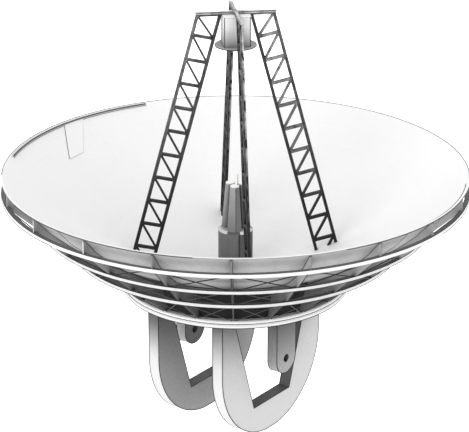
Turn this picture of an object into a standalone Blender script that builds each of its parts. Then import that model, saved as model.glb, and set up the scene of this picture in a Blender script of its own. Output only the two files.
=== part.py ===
# Tipping structure of a large radio telescope dish, as a 1:2 scale model.
# Metres, +Z up. +Z is the dish's axis, +X is the elevation axis.
# The origin is on the elevation axis, midway between the two bearing lugs.
import math

import bmesh
import bpy

# Driving dimensions of the model, each half of the real size.
GAP = 0.0003
SEGMENTS = 120
RIM_Z = 14.325
DISH_R = 17.38
DISH_DEPTH = 7.93
DISH_FLAT_R = 1.4
DISH_RADII = [1.4, 3.0, 4.6, 6.2, 7.8, 9.6, 11.3, 13.0, 14.7, 16.1, 17.38]
DISH_THICKNESS = [0.12, 0.12, 0.12, 0.12, 0.12, 0.12, 0.30, 0.42, 0.44, 0.36, 0.07]
RIM_OUTER_R = 17.50
RIM_TOP = 0.01

RIB_COUNT = 20
RIB_T = 0.10
RIB_OUTER_R = 17.42
RIB_INNER_TOP_R = 9.30

# Hoops: outer radius, height of the middle from the rim's plane, and radius of the
# ribs' outer edge where it stands on the hoop.
HOOP_HEIGHT = 0.255
HOOP_WIDTH = 0.37
HOOPS = [(17.54, -1.295, RIB_OUTER_R), (14.815, -3.70, 14.79), (12.44, -5.79, 12.415)]

BASE_OUTER_R = 8.675
BASE_INNER_R = 8.05
BASE_TOP = -8.65
BASE_BOTTOM = -9.28
BASE_TUBE_R = 0.155
DRUM_OUTER_R = 8.20
DRUM_INNER_R = 8.08

LEG_TOP = 12.0
LEG_OUT_R = 2.82
LEG_IN_R = 1.155
LEG_SLOPE = 0.269
LEG_NODE_Z = 12.352
LEG_BAY = 1.8145
LEG_DROP = 0.357
LEG_RUNGS = 10
LEG_T = 0.24
CHORD_W = 0.23
RUNG_W = 0.21
DIAGONAL_W = 0.16

CROSS_W = 0.24
CROSS_H = 0.20
CROSS_REACH = 2.97
HOUSING_SIDE = 2.04
HOUSING_BOTTOM = 9.725
SUBREFLECTOR_R = 1.55

TOWER_R = 1.31
TOWER_TOP = -4.725
CONE_TOP = -1.20
CONE_BASE_R = 0.545
CONE_TOP_R = 0.34
CONE_BASE_OFFSET = 0.64
CONE_TOP_OFFSET = 0.50

WHEEL_X = 3.05
WHEEL_T = 0.95
WHEEL_R = 6.25
WHEEL_HOLE_HALF = 2.30
WHEEL_HOLE_Z = -18.10
WHEEL_HOLE_SLOPE = 0.307
LUG_X = 4.42
LUG_T = 0.875
LUG_HALF = 1.21
LUG_HOLE_R = 0.33
GIRDER_IN = 2.50
GIRDER_OUT = 4.95

FACET = math.cos(math.pi / SEGMENTS)
HALF_STEP = math.pi / SEGMENTS


for old in list(bpy.data.objects):
    bpy.data.objects.remove(old, do_unlink=True)

parts = bpy.data.collections.new("radio_telescope_dish")
bpy.context.scene.collection.children.link(parts)


def material(name, colour, roughness, metallic):
    """A Principled material in one colour."""
    mat = bpy.data.materials.new(name)
    mat.use_nodes = True
    shader = mat.node_tree.nodes["Principled BSDF"]
    shader.inputs["Base Color"].default_value = (*colour, 1.0)
    shader.inputs["Roughness"].default_value = roughness
    shader.inputs["Metallic"].default_value = metallic
    return mat


def add(name, mesh, colour, location=(0, 0, 0), turn=0.0):
    """Puts a mesh into the part as a named object with its own material."""
    obj = bpy.data.objects.new(name, mesh)
    parts.objects.link(obj)
    obj.location = location
    obj.rotation_euler = (0, 0, turn)
    obj.data.materials.clear()
    obj.data.materials.append(material(name + "_paint", colour, 0.55, 0.0))
    return obj


def evaluated(obj):
    """The mesh of an object with its modifiers applied."""
    bpy.context.view_layer.update()
    graph = bpy.context.evaluated_depsgraph_get()
    mesh = bpy.data.meshes.new_from_object(obj.evaluated_get(graph))
    bpy.data.objects.remove(obj, do_unlink=True)
    work = bmesh.new()
    work.from_mesh(mesh)
    bmesh.ops.remove_doubles(work, verts=work.verts, dist=0.00005)
    bmesh.ops.recalc_face_normals(work, faces=work.faces)
    work.to_mesh(mesh)
    work.free()
    return mesh


def turned(name, profile, closed, segments=SEGMENTS):
    """Turns a profile of (radius, z) points about Z. The facets are centred on the axes."""
    mesh = bpy.data.meshes.new(name)
    verts = [(r / math.cos(math.pi / segments), 0, z) for r, z in profile]
    edges = [(i, i + 1) for i in range(len(verts) - 1)]
    if closed:
        edges.append((len(verts) - 1, 0))
    mesh.from_pydata(verts, edges, [])
    obj = bpy.data.objects.new(name, mesh)
    parts.objects.link(obj)
    screw = obj.modifiers.new("turn", "SCREW")
    screw.steps = segments
    screw.render_steps = segments
    screw.use_merge_vertices = True
    screw.merge_threshold = 0.00005
    screw.use_smooth_shade = False
    mesh = evaluated(obj)
    half = math.pi / segments
    c = math.cos(half)
    s = math.sin(half)
    for vert in mesh.vertices:
        x, y, z = vert.co
        vert.co = (x * c - y * s, x * s + y * c, z)
    return mesh


def plate(name, outlines, thickness):
    """A flat plate: outlines in X and Z, the first one outside, extruded along Y."""
    curve = bpy.data.curves.new(name, "CURVE")
    curve.dimensions = "2D"
    curve.fill_mode = "BOTH"
    curve.extrude = thickness / 2
    for outline in outlines:
        spline = curve.splines.new("POLY")
        spline.points.add(len(outline) - 1)
        for point, (x, z) in zip(spline.points, outline):
            point.co = (x, z, 0, 1)
        spline.use_cyclic_u = True
    obj = bpy.data.objects.new(name, curve)
    parts.objects.link(obj)
    mesh = evaluated(obj)
    for vert in mesh.vertices:
        x, z, y = vert.co
        vert.co = (x, y, z)
    mesh.flip_normals()
    return mesh


def slab(name, outline, low, high):
    """A level plate with an outline in X and Y, between two heights."""
    curve = bpy.data.curves.new(name, "CURVE")
    curve.dimensions = "2D"
    curve.fill_mode = "BOTH"
    curve.extrude = (high - low) / 2
    spline = curve.splines.new("POLY")
    spline.points.add(len(outline) - 1)
    for point, (x, y) in zip(spline.points, outline):
        point.co = (x, y, 0, 1)
    spline.use_cyclic_u = True
    obj = bpy.data.objects.new(name, curve)
    parts.objects.link(obj)
    mesh = evaluated(obj)
    for vert in mesh.vertices:
        vert.co.z += (low + high) / 2
    return mesh


def dish_rise(r):
    """Height of the dish's face above its middle, on the exact curve."""
    if r <= DISH_FLAT_R:
        return 0.0
    return DISH_DEPTH * (r * r - DISH_FLAT_R ** 2) / (DISH_R ** 2 - DISH_FLAT_R ** 2)


def dish_z(r):
    """Height of the faceted dish face at the middle of a facet, from the rim's plane."""
    inner = 0.0
    low = -DISH_DEPTH
    for outer in DISH_RADII:
        high = dish_rise(outer) - DISH_DEPTH
        if r <= outer:
            return low + (high - low) * (r - inner) / (outer - inner)
        inner = outer
        low = high
    return low


WHITE = (0.86, 0.87, 0.87)
PALE = (0.78, 0.79, 0.80)
GREY = (0.42, 0.43, 0.44)
DARK = (0.16, 0.165, 0.17)


# The reflector is one shell with a flat middle that the feed tower stands on.
# Its underside bulges between the hub and the rim, where the panels' frames hang.
top_line = [(r, dish_rise(r) - DISH_DEPTH) for r in DISH_RADII]
under_line = [(r, z - t) for (r, z), t in zip(top_line, DISH_THICKNESS)]
under_line.insert(0, (0.0, -DISH_DEPTH - DISH_THICKNESS[0]))
top_line.insert(0, (0.0, -DISH_DEPTH))
under_line.reverse()
reflector = add("reflector", turned("reflector", top_line + under_line, False), WHITE, (0, 0, RIM_Z))

rim_under = -DISH_THICKNESS[-1]
rim_line = [
    (DISH_R + GAP, RIM_TOP), (RIM_OUTER_R, RIM_TOP), (RIM_OUTER_R, rim_under), (DISH_R + GAP, rim_under)]
rim_ring = add("rim_ring", turned("rim_ring", rim_line, True), WHITE, (0, 0, RIM_Z))


# Each rib is a flat plate under the dish, with a slanting foot on the base ring.
under_gap = DISH_THICKNESS[0] + GAP
rib_line = [(RIB_OUTER_R, rim_under - GAP)]
for r, z in under_line:
    if r > RIB_INNER_TOP_R:
        rib_line.append((r, z - GAP))
rib_line.append((RIB_INNER_TOP_R, dish_z(RIB_INNER_TOP_R) - under_gap))
rib_line.append((DRUM_OUTER_R + GAP, BASE_TOP + GAP))
rib_line.append((BASE_OUTER_R - BASE_TUBE_R, BASE_TOP + GAP))
for hoop_r, hoop_z, edge_r in reversed(HOOPS):
    notch_r = hoop_r - HOOP_WIDTH - GAP
    seat_z = hoop_z + HOOP_HEIGHT / 2 + GAP
    rib_line.append((notch_r, hoop_z - HOOP_HEIGHT / 2))
    rib_line.append((notch_r, seat_z))
    rib_line.append((edge_r, seat_z))

for i in range(RIB_COUNT):
    name = "rib_%02d" % (i + 1)
    add(name, plate(name, [rib_line], RIB_T), PALE, (0, 0, RIM_Z), math.radians(i * 360 / RIB_COUNT))


# Three box-section hoops tie the ribs together, and the base ring closes them at the bottom.
for i, (hoop_r, hoop_z, edge_r) in enumerate(HOOPS):
    name = "hoop_%d" % (i + 1)
    low = hoop_z - HOOP_HEIGHT / 2
    high = hoop_z + HOOP_HEIGHT / 2
    inner_r = hoop_r - HOOP_WIDTH
    hoop_line = [(inner_r, low), (hoop_r, low), (hoop_r, high), (inner_r, high)]
    add(name, turned(name, hoop_line, True), WHITE, (0, 0, RIM_Z))

base_line = [(BASE_INNER_R, BASE_BOTTOM), (BASE_INNER_R, BASE_TOP)]
tube_middle = BASE_OUTER_R - BASE_TUBE_R
for tube_z in (BASE_TOP - BASE_TUBE_R, BASE_BOTTOM + BASE_TUBE_R):
    for angle in (90, 60, 30, 0, -30, -60, -90):
        a = math.radians(angle)
        base_line.append((tube_middle + BASE_TUBE_R * math.cos(a), tube_z + BASE_TUBE_R * math.sin(a)))
add("base_ring", turned("base_ring", base_line, True), WHITE, (0, 0, RIM_Z))


# A drum inside the ribs joins the base ring to the dish.
drum_line = [
    (DRUM_INNER_R, BASE_TOP + GAP),
    (DRUM_OUTER_R, BASE_TOP + GAP),
    (DRUM_OUTER_R, dish_z(DRUM_OUTER_R) - under_gap),
    (DRUM_INNER_R, dish_z(DRUM_INNER_R) - under_gap),
]
add("hub_drum", turned("hub_drum", drum_line, True), DARK, (0, 0, RIM_Z))


# Girders across the base ring carry the wheels and the lugs.
def ring_y(x):
    """Half-chord of the base ring's inner faceted wall at x, less the seat gap."""
    radius = (BASE_INNER_R - GAP) / FACET
    points = []
    for k in range(SEGMENTS // 2):
        angle = HALF_STEP * (2 * k + 1)
        points.append((radius * math.cos(angle), radius * math.sin(angle)))
    for (x1, y1), (x2, y2) in zip(points, points[1:]):
        if x2 <= x <= x1:
            return y1 + (y2 - y1) * (x - x1) / (x2 - x1)
    return 0.0


def girder_line(x1, x2):
    """Outline of a girder along Y from wall to wall of the base ring."""
    radius = (BASE_INNER_R - GAP) / FACET
    arc = [(x2, ring_y(x2))]
    for k in range(SEGMENTS // 2):
        angle = HALF_STEP * (2 * k + 1)
        x = radius * math.cos(angle)
        if x1 < x < x2:
            arc.append((x, radius * math.sin(angle)))
    arc.append((x1, ring_y(x1)))
    return arc + [(x, -y) for x, y in reversed(arc)]


right_line = girder_line(GIRDER_IN, GIRDER_OUT)
left_line = [(-x, -y) for x, y in right_line]
add("girder_right", slab("girder_right", right_line, BASE_BOTTOM, BASE_TOP), PALE, (0, 0, RIM_Z))
add("girder_left", slab("girder_left", left_line, BASE_BOTTOM, BASE_TOP), PALE, (0, 0, RIM_Z))
mid_x = GIRDER_IN - GAP
mid_line = [(-mid_x, -0.5), (mid_x, -0.5), (mid_x, 0.5), (-mid_x, 0.5)]
add("girder_middle", slab("girder_middle", mid_line, BASE_BOTTOM, BASE_TOP), PALE, (0, 0, RIM_Z))


# Quadripod legs: flat lattices with two chords, level rungs and one diagonal in each bay.
def inset(corners, margins):
    """Moves the three sides of a triangle inwards by their own margins."""
    cx = sum(p[0] for p in corners) / 3
    cz = sum(p[1] for p in corners) / 3
    lines = []
    for i in range(3):
        (x1, z1), (x2, z2) = corners[i], corners[(i + 1) % 3]
        nx, nz = z2 - z1, x1 - x2
        size = math.hypot(nx, nz)
        nx, nz = nx / size, nz / size
        if (cx - x1) * nx + (cz - z1) * nz < 0:
            nx, nz = -nx, -nz
        lines.append((nx, nz, nx * x1 + nz * z1 + margins[i]))
    result = []
    for i in range(3):
        a1, b1, c1 = lines[i - 1]
        a2, b2, c2 = lines[i]
        det = a1 * b2 - a2 * b1
        result.append(((c1 * b2 - c2 * b1) / det, (a1 * c2 - a2 * c1) / det))
    return result


def chord(top_r, offset, z):
    """Radius of a chord's line at a height, moved sideways by an offset."""
    return top_r + LEG_SLOPE * (LEG_TOP - z) + offset * math.hypot(1, LEG_SLOPE)


def out_node(i):
    z = LEG_NODE_Z - LEG_BAY * i
    return (chord(LEG_OUT_R, 0, z), z)


def in_node(i):
    z = LEG_NODE_Z - LEG_DROP - LEG_BAY * i
    return (chord(LEG_IN_R, 0, z), z)


def shifted(p, q, offset):
    """The line from p to q, moved by an offset to its left."""
    dx, dz = q[0] - p[0], q[1] - p[1]
    size = math.hypot(dx, dz)
    nx, nz = -dz / size * offset, dx / size * offset
    return ((p[0] + nx, p[1] + nz), (q[0] + nx, q[1] + nz))


def crossing(line_1, line_2):
    """Where two lines cross."""
    (x1, z1), (x2, z2) = line_1
    (x3, z3), (x4, z4) = line_2
    det = (x1 - x2) * (z3 - z4) - (z1 - z2) * (x3 - x4)
    a = x1 * z2 - z1 * x2
    b = x3 * z4 - z3 * x4
    return ((a * (x3 - x4) - (x1 - x2) * b) / det, (a * (z3 - z4) - (z1 - z2) * b) / det)


def on_dish(line):
    """Where a line meets the dish, less the seat gap."""
    (x1, z1), (x2, z2) = line
    t = 0.0
    for step in range(40):
        x = x1 + (x2 - x1) * t
        t += (z1 + (z2 - z1) * t - dish_z(x) - GAP) / (z1 - z2)
    return (x1 + (x2 - x1) * t, z1 + (z2 - z1) * t)


half_c = CHORD_W / 2
half_r = RUNG_W / 2
half_d = DIAGONAL_W / 2
last = LEG_RUNGS
out_line = (out_node(last), out_node(last + 1))
in_line = (in_node(last), in_node(last + 1))
rung_line = (in_node(last), out_node(last))
stub_line = (out_node(last), in_node(last + 1))
out_inner = shifted(*out_line, -half_c)
in_outer = shifted(*in_line, half_c)
rung_under = shifted(*rung_line, -half_r)
stub_outer = shifted(*stub_line, half_d)
stub_inner = shifted(*stub_line, -half_d)
top_z = LEG_TOP - GAP
leg_line = [
    (chord(LEG_IN_R, -half_c, top_z), top_z),
    (chord(LEG_OUT_R, half_c, top_z), top_z),
    on_dish(shifted(*out_line, half_c)),
    on_dish(out_inner),
    crossing(out_inner, stub_outer),
    on_dish(stub_outer),
    on_dish(stub_inner),
    crossing(stub_inner, rung_under),
    crossing(rung_under, in_outer),
    on_dish(in_outer),
    on_dish(shifted(*in_line, -half_c)),
]
head = [(chord(LEG_OUT_R, 0, LEG_TOP), LEG_TOP), (chord(LEG_IN_R, 0, LEG_TOP), LEG_TOP)]
leg_holes = []
for i in range(LEG_RUNGS):
    o1 = out_node(i) if i else head[0]
    n1 = in_node(i) if i else head[1]
    o2 = out_node(i + 1)
    n2 = in_node(i + 1)
    leg_holes.append(inset([o1, n2, o2], [half_d, half_r, half_c]))
    leg_holes.append(inset([o1, n1, n2], [half_r, half_c, half_d]))

for i in range(4):
    name = "leg_%d" % (i + 1)
    mesh = plate(name, [leg_line] + leg_holes, LEG_T)
    add(name, mesh, DARK, (0, 0, RIM_Z), math.radians(45 + 90 * i))

half_w = CROSS_W / 2
reach = CROSS_REACH
cross_line = [
    (reach, -half_w), (reach, half_w), (half_w, half_w), (half_w, reach), (-half_w, reach), (-half_w, half_w),
    (-reach, half_w), (-reach, -half_w), (-half_w, -half_w), (-half_w, -reach), (half_w, -reach),
    (half_w, -half_w),
]
cross = slab("apex_cross", cross_line, LEG_TOP, LEG_TOP + CROSS_H)
add("apex_cross", cross, GREY, (0, 0, RIM_Z), math.radians(45))


# The housing hangs under the cross and holds the subreflector.
half_h = HOUSING_SIDE / 2
round_r = 0.28
house_line = []
for quarter in range(4):
    for step in range(5):
        angle = math.radians(90 * quarter + 22.5 * step)
        sx = half_h - round_r if quarter in (0, 3) else round_r - half_h
        sy = half_h - round_r if quarter in (0, 1) else round_r - half_h
        house_line.append((sx + round_r * math.cos(angle), sy + round_r * math.sin(angle)))
house = slab("subreflector_housing", house_line, HOUSING_BOTTOM + GAP, LEG_TOP - GAP)
add("subreflector_housing", house, PALE, (0, 0, RIM_Z), math.radians(45))

sub_line = [(0.0, HOUSING_BOTTOM)]
sub_line.append((SUBREFLECTOR_R - 0.02, HOUSING_BOTTOM))
sub_line.append((SUBREFLECTOR_R, HOUSING_BOTTOM - 0.02))
sub_line.append((SUBREFLECTOR_R, HOUSING_BOTTOM - 0.08))
for step in range(1, 7):
    r = SUBREFLECTOR_R * (1 - step / 6)
    sub_line.append((r, HOUSING_BOTTOM - 0.08 - 0.22 * (1 - (r / SUBREFLECTOR_R) ** 2)))
add("subreflector", turned("subreflector", sub_line, False, 72), PALE, (0, 0, RIM_Z))


# The feed tower at the middle of the dish carries three feed cones.
tower_line = [
    (0.0, TOWER_TOP),
    (TOWER_R - 0.20, TOWER_TOP),
    (TOWER_R, TOWER_TOP - 0.16),
    (TOWER_R, -DISH_DEPTH + GAP),
    (0.0, -DISH_DEPTH + GAP),
]
add("feed_tower", turned("feed_tower", tower_line, False, 60), GREY, (0, 0, RIM_Z))

cone_h = CONE_TOP - TOWER_TOP - GAP
for i, azimuth in enumerate((-60, 60, 180)):
    name = "feed_cone_%d" % (i + 1)
    mesh = bpy.data.meshes.new(name)
    work = bmesh.new()
    bmesh.ops.create_cone(
        work, cap_ends=True, segments=40, radius1=CONE_BASE_R, radius2=CONE_TOP_R, depth=cone_h)
    for vert in work.verts:
        vert.co.x += CONE_BASE_OFFSET if vert.co.z < 0 else CONE_TOP_OFFSET
        vert.co.z += TOWER_TOP + GAP + cone_h / 2
    work.to_mesh(mesh)
    work.free()
    add(name, mesh, GREY, (0, 0, RIM_Z), math.radians(azimuth))


# Elevation wheels: two D-shaped loops under the girders, with a tapered opening. Their round
# edge is centred on the elevation axis.
wheel_line = []
wheel_line.append((WHEEL_R, BASE_BOTTOM - GAP))
for step in range(0, 49):
    angle = math.radians(3.75 * step)
    wheel_line.append((WHEEL_R * math.cos(angle), -RIM_Z - WHEEL_R * math.sin(angle)))
wheel_line.append((-WHEEL_R, BASE_BOTTOM - GAP))
hole_top = WHEEL_HOLE_HALF + WHEEL_HOLE_SLOPE * (BASE_BOTTOM - WHEEL_HOLE_Z)
wheel_line.append((-hole_top, BASE_BOTTOM - GAP))
wheel_line.append((-WHEEL_HOLE_HALF, WHEEL_HOLE_Z))
wheel_line.append((WHEEL_HOLE_HALF, WHEEL_HOLE_Z))
wheel_line.append((hole_top, BASE_BOTTOM - GAP))
for name, x in (("wheel_right", WHEEL_X), ("wheel_left", -WHEEL_X)):
    add(name, plate(name, [wheel_line], WHEEL_T), WHITE, (x, 0, RIM_Z), math.radians(90))


# Elevation bearing lugs: thick plates with a round foot and a pin hole on the axis.
lug_line = [(LUG_HALF, BASE_BOTTOM - GAP)]
for step in range(0, 25):
    angle = math.radians(7.5 * step)
    lug_line.append((LUG_HALF * math.cos(angle), -RIM_Z - LUG_HALF * math.sin(angle)))
lug_line.append((-LUG_HALF, BASE_BOTTOM - GAP))
hole_line = []
for step in range(32):
    angle = math.radians(11.25 * step)
    hole_line.append((LUG_HOLE_R * math.cos(angle), -RIM_Z + LUG_HOLE_R * math.sin(angle)))
for name, x in (("lug_right", LUG_X), ("lug_left", -LUG_X)):
    add(name, plate(name, [lug_line, hole_line], LUG_T), PALE, (x, 0, RIM_Z), math.radians(90))
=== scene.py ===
# %% [markdown]
# A large radio telescope dish, dressed for its picture. The engineering model gives the solid
# shapes: reflector, ribs, hoops, legs and wheels. This script loads that model as a fixed frame,
# paints every surface and adds the fine work that is too thin for solids, such as cross bracing.
# Working over a fixed frame keeps every size true, so nothing here is placed by eye alone.

import math

import bmesh
import bpy
from mathutils import Matrix, Vector


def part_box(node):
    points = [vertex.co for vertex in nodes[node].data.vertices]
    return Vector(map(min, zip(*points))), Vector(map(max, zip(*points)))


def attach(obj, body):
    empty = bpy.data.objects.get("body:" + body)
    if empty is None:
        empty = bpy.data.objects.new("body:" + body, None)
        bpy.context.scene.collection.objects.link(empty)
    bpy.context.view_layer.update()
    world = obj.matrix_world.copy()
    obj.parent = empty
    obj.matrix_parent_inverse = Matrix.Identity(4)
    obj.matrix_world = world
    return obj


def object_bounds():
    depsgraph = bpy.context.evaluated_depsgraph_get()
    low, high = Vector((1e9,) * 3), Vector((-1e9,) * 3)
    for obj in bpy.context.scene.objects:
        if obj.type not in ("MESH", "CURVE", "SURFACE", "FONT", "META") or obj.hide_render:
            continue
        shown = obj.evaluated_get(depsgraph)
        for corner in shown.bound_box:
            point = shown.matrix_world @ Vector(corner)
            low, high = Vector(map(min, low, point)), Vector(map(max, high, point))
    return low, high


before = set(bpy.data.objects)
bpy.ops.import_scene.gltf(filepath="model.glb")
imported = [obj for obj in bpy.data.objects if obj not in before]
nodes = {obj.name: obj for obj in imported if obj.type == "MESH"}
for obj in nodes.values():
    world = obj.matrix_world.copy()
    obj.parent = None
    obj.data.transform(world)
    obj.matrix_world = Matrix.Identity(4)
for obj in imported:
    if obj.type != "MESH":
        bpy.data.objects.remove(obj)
cad_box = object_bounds()
print("frame nodes:", len(nodes))
print("frame box:", [[round(v, 3) for v in corner] for corner in cad_box])

# %% [markdown]
# Heights in this script are easiest to read from the plane of the dish's rim, because the dish,
# its ribs and its hoops all hang from that plane. The rim ring's top stands 1 cm above it.
# The other numbers repeat the model's main sizes, in metres of the half-size model. HOOPS holds
# the radius and the height of the three hoops and, last, of the base ring.

# %% Main sizes
RIM_TOP = 0.01
RIM_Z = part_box("rim_ring")[1].z - RIM_TOP
DISH_R = 17.38
DISH_DEPTH = 7.93
DISH_FLAT_R = 1.4
RIB_COUNT = 20
RIB_STEP = 360 / RIB_COUNT
RIB_EDGE_R = 17.42
HOOPS = [(17.36, -1.33), (14.66, -3.70), (12.28, -5.79), (8.52, -8.75)]


def dish_height(r):
    """Height of the dish's face from the rim's plane."""
    return DISH_DEPTH * (r * r - DISH_FLAT_R ** 2) / (DISH_R ** 2 - DISH_FLAT_R ** 2) - DISH_DEPTH


print("rim plane at", round(RIM_Z, 3), "m above the elevation axis")

# %% [markdown]
# The camera stands where the photographer's did. Its place was found by matching points of the
# photograph, such as rim, hoops and pin holes, to the model: 53 degrees round from the elevation
# axis, far away and looking 21.6 degrees down. The far stand and the long lens keep the hoops'
# ellipses nearly parallel.

# %% Camera place and directions
CAMERA_TURN = math.radians(-53.023)
CAMERA_AWAY = 141.264
CAMERA_UP = 51.975
CAMERA_PITCH = math.radians(21.559)
CAMERA_ROLL = math.radians(0.052)
CAMERA_YAW = math.radians(0.031)

place = Vector((
    CAMERA_AWAY * math.cos(CAMERA_TURN),
    CAMERA_AWAY * math.sin(CAMERA_TURN),
    CAMERA_UP + RIM_Z,
))
aim = CAMERA_TURN + CAMERA_YAW
forward = Vector((
    -math.cos(aim) * math.cos(CAMERA_PITCH),
    -math.sin(aim) * math.cos(CAMERA_PITCH),
    -math.sin(CAMERA_PITCH),
))
level = Vector((-math.sin(aim), math.cos(aim), 0))
upright = level.cross(forward)
right = math.cos(CAMERA_ROLL) * level + math.sin(CAMERA_ROLL) * upright
above = math.cos(CAMERA_ROLL) * upright - math.sin(CAMERA_ROLL) * level
print("camera", round(place.length, 1), "m from the axis")

# %% [markdown]
# A camera in Blender looks along its own -Z, with +X to the right and +Y up. Its matrix is made
# from those three directions and its place, so no aiming constraint is needed. The lens comes
# from the picture: a focal length in pixels becomes millimetres by the sensor's width.

# %% Camera
FOCAL_PIXELS = 2005.8
IMAGE_WIDTH = 469
SENSOR_WIDTH = 36.0
FARTHEST = 3000.0

lens = bpy.data.cameras.new("camera")
lens.sensor_fit = "HORIZONTAL"
lens.sensor_width = SENSOR_WIDTH
lens.lens = FOCAL_PIXELS * SENSOR_WIDTH / IMAGE_WIDTH
lens.clip_end = FARTHEST
camera = bpy.data.objects.new("camera", lens)
camera.matrix_world = Matrix((
    (right.x, above.x, -forward.x, place.x),
    (right.y, above.y, -forward.y, place.y),
    (right.z, above.z, -forward.z, place.z),
    (0, 0, 0, 1),
))
bpy.context.scene.collection.objects.link(camera)
bpy.context.scene.camera = camera
print("lens", round(lens.lens, 1), "mm")

# %% [markdown]
# Every material here is a small network of nodes, and building one takes many similar lines.
# put() keeps the networks readable: it adds a node, changes its settings, and fills or links its
# inputs. A socket given as a value is linked, and any other value is set as it is.

# %% Node helper
def put(tree, kind, inputs=None, **settings):
    """Adds a node, changes its settings, and sets or links its inputs."""
    node = tree.nodes.new(kind)
    for name, value in settings.items():
        setattr(node, name, value)
    for name, value in (inputs or {}).items():
        if isinstance(value, bpy.types.NodeSocket):
            tree.links.new(value, node.inputs[name])
        else:
            node.inputs[name].default_value = value
    return node


print("node helper ready")

# %% [markdown]
# The tones of this object are nearly all greys, and most finishes blend two colours by a mask, a
# number from 0 to 1 over the surface. One helper names a grey and one blends two colours. Cloudy
# noise at the point's place gives the first mask, and two more helpers make that.

# %% Colour and noise helpers
def grey(level):
    """A neutral colour."""
    return (level, level, level)


def blend(tree, first, second, mask):
    """Blends two colours, each a socket or a plain colour, by a mask."""
    inputs = {"Factor": mask}
    for index, colour in ((6, first), (7, second)):
        inputs[index] = colour if isinstance(colour, bpy.types.NodeSocket) else (*colour, 1)
    return put(tree, "ShaderNodeMix", inputs, data_type="RGBA").outputs[2]


def object_place(tree):
    """The point's place, in metres."""
    return put(tree, "ShaderNodeTexCoord").outputs["Object"]


def noise(tree, coords, scale, detail):
    """Cloudy noise from 0 to 1."""
    inputs = {"Vector": coords, "Scale": scale, "Detail": detail}
    return put(tree, "ShaderNodeTexNoise", inputs).outputs["Fac"]


print("colour and noise helpers ready")

# %% [markdown]
# The floor and the surroundings are plain and pale, as in a studio with a white cyclorama. A dish
# this wide would throw a broad shadow on a normal floor, and the photograph shows none. So the
# floor also glows: seen by the camera it is evenly white, like a light table, and for all other
# rays it glows faintly, which lights the ribs from below as the bright surroundings do.

# %% Floor
FLOOR_DROP = 9.0
FLOOR_Z = cad_box[0][2] - FLOOR_DROP
FLOOR_R = 900
FLOOR_GLOW = 0.15
FLOOR_MOTTLE = 0.05


def pale_floor():
    """The floor's material: white with a faint, broad mottle."""
    mat = bpy.data.materials.new("studio_floor")
    mat.use_nodes = True
    tree = mat.node_tree
    shader = tree.nodes["Principled BSDF"]
    cloud = noise(tree, object_place(tree), FLOOR_MOTTLE, 3.0)
    tone = blend(tree, grey(0.93), grey(0.97), cloud)
    path = put(tree, "ShaderNodeLightPath").outputs
    glow = blend(tree, grey(FLOOR_GLOW), tone, path["Is Camera Ray"])
    tree.links.new(tone, shader.inputs["Base Color"])
    tree.links.new(glow, shader.inputs["Emission Color"])
    shader.inputs["Emission Strength"].default_value = 1.0
    shader.inputs["Roughness"].default_value = 0.9
    shader.inputs["Specular IOR Level"].default_value = 0.0
    return mat


floor_mesh = bpy.data.meshes.new("floor")
work = bmesh.new()
bmesh.ops.create_circle(work, cap_ends=True, segments=96, radius=FLOOR_R)
work.to_mesh(floor_mesh)
work.free()
floor = bpy.data.objects.new("floor", floor_mesh)
floor.location.z = FLOOR_Z
floor.data.materials.append(pale_floor())
bpy.context.scene.collection.objects.link(floor)
print("floor at", round(FLOOR_Z, 3))

# %% [markdown]
# The light in the photograph is very soft, and a little stronger from the camera's left. A white
# world gives the soft part. One sun with a wide disc, 42 degrees to the left of the camera, gives
# the direction. A sun suits an object this large, because its light doesn't weaken with distance.

# %% Light
SUN_TURN = math.radians(-95)
SUN_HEIGHT = math.radians(28)
SUN_DISC = math.radians(30)
SUN_STRENGTH = 0.5

bpy.context.scene.view_settings.view_transform = "Standard"
world = bpy.data.worlds.new("studio")
bpy.context.scene.world = world
world.use_nodes = True
sky = world.node_tree.nodes["Background"].inputs
sky["Color"].default_value = (1.0, 1.0, 1.0, 1)
sky["Strength"].default_value = 1.0

sun = bpy.data.lights.new("key_sun", "SUN")
sun.energy = SUN_STRENGTH
sun.angle = SUN_DISC
sun_object = bpy.data.objects.new("key_sun", sun)
towards = Vector((
    math.cos(SUN_TURN) * math.cos(SUN_HEIGHT),
    math.sin(SUN_TURN) * math.cos(SUN_HEIGHT),
    math.sin(SUN_HEIGHT),
))
sun_object.rotation_euler = towards.to_track_quat("Z", "Y").to_euler()
bpy.context.scene.collection.objects.link(sun_object)
print("sun from azimuth", round(math.degrees(SUN_TURN)), "height", round(math.degrees(SUN_HEIGHT)))

# %% [markdown]
# An effect that many materials share is best built once, as a node group with named inputs and
# outputs, and placed in each material with its own values. effect() starts such a group, and
# calc() adds one step of arithmetic. The last two helpers are the commonest steps: product()
# multiplies masks and numbers, and ramp() turns a range of values into a mask.

# %% Effect helpers
NUMBER = "NodeSocketFloat"
COLOUR = "NodeSocketColor"


def effect(name, inputs, outputs):
    """Starts a shader node group with named inputs and outputs."""
    tree = bpy.data.node_groups.new(name, "ShaderNodeTree")
    for label, kind, value in inputs:
        socket = tree.interface.new_socket(label, in_out="INPUT", socket_type=kind)
        socket.default_value = value
    for label, kind in outputs:
        tree.interface.new_socket(label, in_out="OUTPUT", socket_type=kind)
    start = tree.nodes.new("NodeGroupInput").outputs
    end = tree.nodes.new("NodeGroupOutput").inputs
    return tree, start, end


def calc(tree, operation, *values):
    """Adds one math node and returns its result."""
    node = put(tree, "ShaderNodeMath", dict(enumerate(values)), operation=operation)
    return node.outputs[0]


def product(tree, first, *others):
    """Multiplies masks and numbers."""
    for other in others:
        first = calc(tree, "MULTIPLY", first, other)
    return first


def ramp(tree, value, low, high):
    """A mask that rises from 0 to 1 while a value goes from low to high."""
    inputs = {"Value": value, "From Min": low, "From Max": high}
    return put(tree, "ShaderNodeMapRange", inputs).outputs[0]


print("effect helpers ready")

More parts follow.
